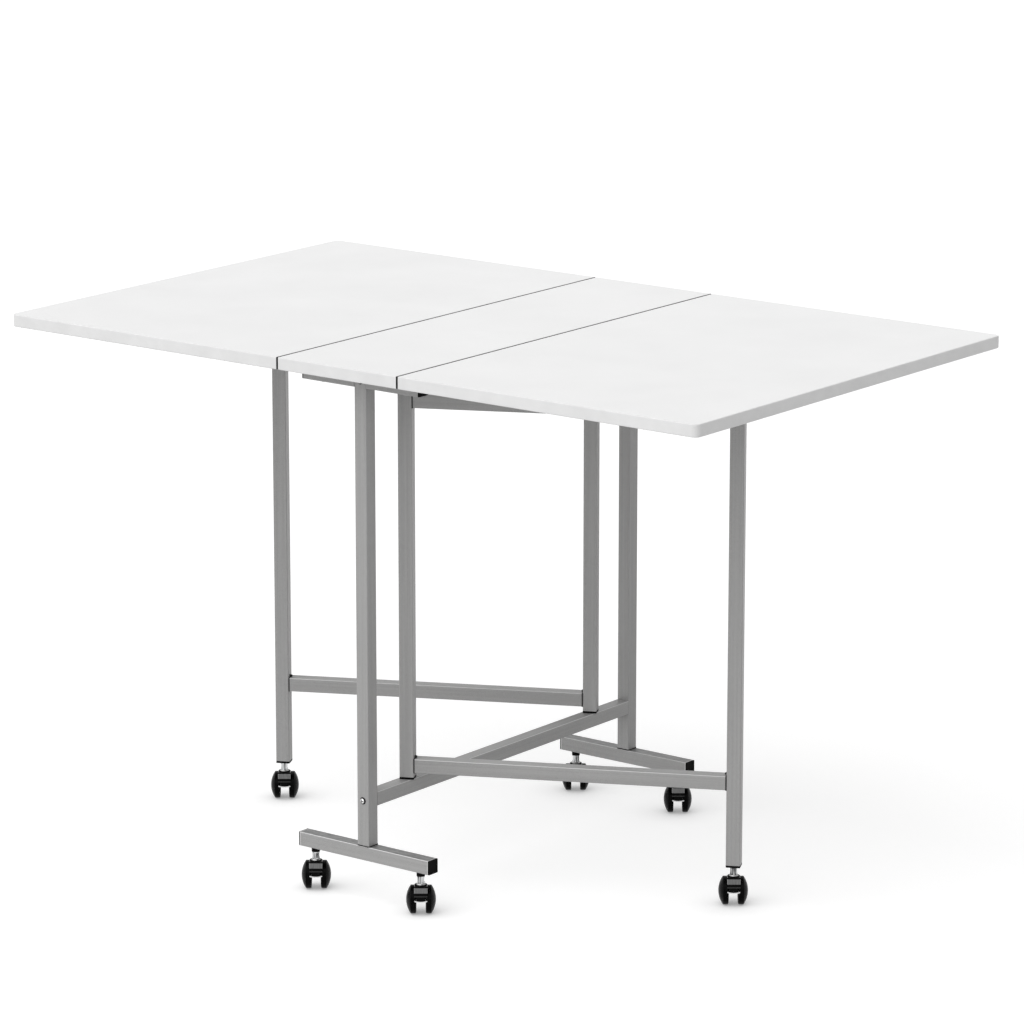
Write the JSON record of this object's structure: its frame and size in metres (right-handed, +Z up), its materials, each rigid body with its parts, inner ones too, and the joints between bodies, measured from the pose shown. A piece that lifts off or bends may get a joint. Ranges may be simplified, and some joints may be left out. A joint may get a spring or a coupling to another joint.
{
  "type": "folding sewing cutting table",
  "caption": "Folding cutting table with a narrow centre panel, hinged drop leaves, swing-out tube gates under the leaves, a square-tube frame and twin-wheel casters.",
  "frame": {"origin": "on the floor, under the middle of the top", "axes": "+X along the length of the top towards the right leaf, +Y towards the rear post, +Z up"},
  "size_m": [1.5, 0.915, 0.97],
  "materials": {
    "white_board": "white melamine-faced board",
    "edge_band": "satin grey-white plastic edge band",
    "silver_paint": "satin silver-grey powder coat",
    "black_plastic": "matt black moulded plastic",
    "wheel_black": "black moulded nylon, slight sheen",
    "bracket_steel": "pressed zinc-plated steel",
    "chrome": "bright plated steel",
    "zinc_steel": "zinc-plated steel"
  },
  "bodies": {
    "frame_body": {"bar_end_caps": "black_plastic", "centre_panel": "white_board", "centre_panel_edge_band": "edge_band", "foot_caster_nuts": "zinc_steel", "foot_caster_stems": "chrome", "foot_caster_washers": "black_plastic", "front_foot_bar": "silver_paint", "front_post": "silver_paint", "front_top_bar": "silver_paint", "gate_pivot_pins": "zinc_steel", "hinge_centre_leaves": "zinc_steel", "hinge_centre_screws": "zinc_steel", "hinge_pins": "zinc_steel", "lower_stretcher": "silver_paint", "panel_screws": "zinc_steel", "rear_foot_bar": "silver_paint", "rear_post": "silver_paint", "rear_top_bar": "silver_paint", "stretcher_bolts": "zinc_steel", "stretcher_end_plugs": "zinc_steel", "upper_stretcher": "silver_paint"},
    "front_left_caster_swivel_body": {"front_left_caster_axle": "chrome", "front_left_caster_bracket": "bracket_steel"},
    "front_left_caster_wheel_body": {"front_left_caster_wheels": "wheel_black"},
    "front_right_caster_swivel_body": {"front_right_caster_axle": "chrome", "front_right_caster_bracket": "bracket_steel"},
    "front_right_caster_wheel_body": {"front_right_caster_wheels": "wheel_black"},
    "rear_left_caster_swivel_body": {"rear_left_caster_axle": "chrome", "rear_left_caster_bracket": "bracket_steel"},
    "rear_left_caster_wheel_body": {"rear_left_caster_wheels": "wheel_black"},
    "rear_right_caster_swivel_body": {"rear_right_caster_axle": "chrome", "rear_right_caster_bracket": "bracket_steel"},
    "rear_right_caster_wheel_body": {"rear_right_caster_wheels": "wheel_black"},
    "left_gate_caster_swivel_body": {"left_gate_caster_axle": "chrome", "left_gate_caster_bracket": "bracket_steel"},
    "left_gate_caster_wheel_body": {"left_gate_caster_wheels": "wheel_black"},
    "right_gate_caster_swivel_body": {"right_gate_caster_axle": "chrome", "right_gate_caster_bracket": "bracket_steel"},
    "right_gate_caster_wheel_body": {"right_gate_caster_wheels": "wheel_black"},
    "left_gate_body": {"left_gate_caster_stem": "chrome", "left_gate_lower_rail": "silver_paint", "left_gate_outer_post": "silver_paint", "left_gate_pivot_post": "silver_paint", "left_gate_post_plugs": "black_plastic", "left_gate_upper_rail": "silver_paint"},
    "left_leaf_body": {"left_hinge_outer_leaves": "zinc_steel", "left_hinge_outer_screws": "zinc_steel", "left_leaf": "white_board", "left_leaf_edge_band": "edge_band"},
    "right_gate_body": {"right_gate_caster_stem": "chrome", "right_gate_lower_rail": "silver_paint", "right_gate_outer_post": "silver_paint", "right_gate_pivot_post": "silver_paint", "right_gate_post_plugs": "black_plastic", "right_gate_upper_rail": "silver_paint"},
    "right_leaf_body": {"right_hinge_outer_leaves": "zinc_steel", "right_hinge_outer_screws": "zinc_steel", "right_leaf": "white_board", "right_leaf_edge_band": "edge_band"}
  },
  "joints": [
    {"name": "right_leaf_hinge", "type": "hinge", "parent": "frame_body", "child": "right_leaf_body", "pos_m": [0.13125, 0, 0.9447], "axis": [0, -1, 0], "range_deg": [0, 5]},
    {"name": "left_leaf_hinge", "type": "hinge", "parent": "frame_body", "child": "left_leaf_body", "pos_m": [-0.13125, 0, 0.9447], "axis": [0, 1, 0], "range_deg": [0, 5]},
    {"name": "right_gate_swing", "type": "hinge", "parent": "frame_body", "child": "right_gate_body", "pos_m": [0, -0.269, 0.201], "axis": [0, 0, 1], "range_deg": [0, 60.1]},
    {"name": "left_gate_swing", "type": "hinge", "parent": "frame_body", "child": "left_gate_body", "pos_m": [0, 0.269, 0.201], "axis": [0, 0, 1], "range_deg": [0, 60.1]},
    {"name": "front_left_caster_swivel", "type": "hinge", "parent": "frame_body", "child": "front_left_caster_swivel_body", "pos_m": [-0.118, -0.382, 0.0588], "axis": [0, 0, 1], "continuous": true},
    {"name": "front_left_caster_roll", "type": "hinge", "parent": "front_left_caster_swivel_body", "child": "front_left_caster_wheel_body", "pos_m": [-0.12652, -0.37089, 0.025], "axis": [-0.7934, -0.6088, 0], "continuous": true},
    {"name": "front_right_caster_swivel", "type": "hinge", "parent": "frame_body", "child": "front_right_caster_swivel_body", "pos_m": [0.118, -0.382, 0.0588], "axis": [0, 0, 1], "continuous": true},
    {"name": "front_right_caster_roll", "type": "hinge", "parent": "front_right_caster_swivel_body", "child": "front_right_caster_wheel_body", "pos_m": [0.10948, -0.37089, 0.025], "axis": [-0.7934, -0.6088, 0], "continuous": true},
    {"name": "rear_left_caster_swivel", "type": "hinge", "parent": "frame_body", "child": "rear_left_caster_swivel_body", "pos_m": [-0.118, 0.382, 0.0588], "axis": [0, 0, 1], "continuous": true},
    {"name": "rear_left_caster_roll", "type": "hinge", "parent": "rear_left_caster_swivel_body", "child": "rear_left_caster_wheel_body", "pos_m": [-0.12652, 0.39311, 0.025], "axis": [-0.7934, -0.6088, 0], "continuous": true},
    {"name": "rear_right_caster_swivel", "type": "hinge", "parent": "frame_body", "child": "rear_right_caster_swivel_body", "pos_m": [0.118, 0.382, 0.0588], "axis": [0, 0, 1], "continuous": true},
    {"name": "rear_right_caster_roll", "type": "hinge", "parent": "rear_right_caster_swivel_body", "child": "rear_right_caster_wheel_body", "pos_m": [0.10948, 0.39311, 0.025], "axis": [-0.7934, -0.6088, 0], "continuous": true},
    {"name": "left_gate_caster_swivel", "type": "hinge", "parent": "left_gate_body", "child": "left_gate_caster_swivel_body", "pos_m": [-0.51906, 0.01021, 0.0588], "axis": [0, 0, 1], "continuous": true},
    {"name": "left_gate_caster_roll", "type": "hinge", "parent": "left_gate_caster_swivel_body", "child": "left_gate_caster_wheel_body", "pos_m": [-0.52758, 0.02131, 0.025], "axis": [-0.7934, -0.6088, 0], "continuous": true},
    {"name": "right_gate_caster_swivel", "type": "hinge", "parent": "right_gate_body", "child": "right_gate_caster_swivel_body", "pos_m": [0.51906, -0.01021, 0.0588], "axis": [0, 0, 1], "continuous": true},
    {"name": "right_gate_caster_roll", "type": "hinge", "parent": "right_gate_caster_swivel_body", "child": "right_gate_caster_wheel_body", "pos_m": [0.51054, 0.0009, 0.025], "axis": [-0.7934, -0.6088, 0], "continuous": true}
  ]
}
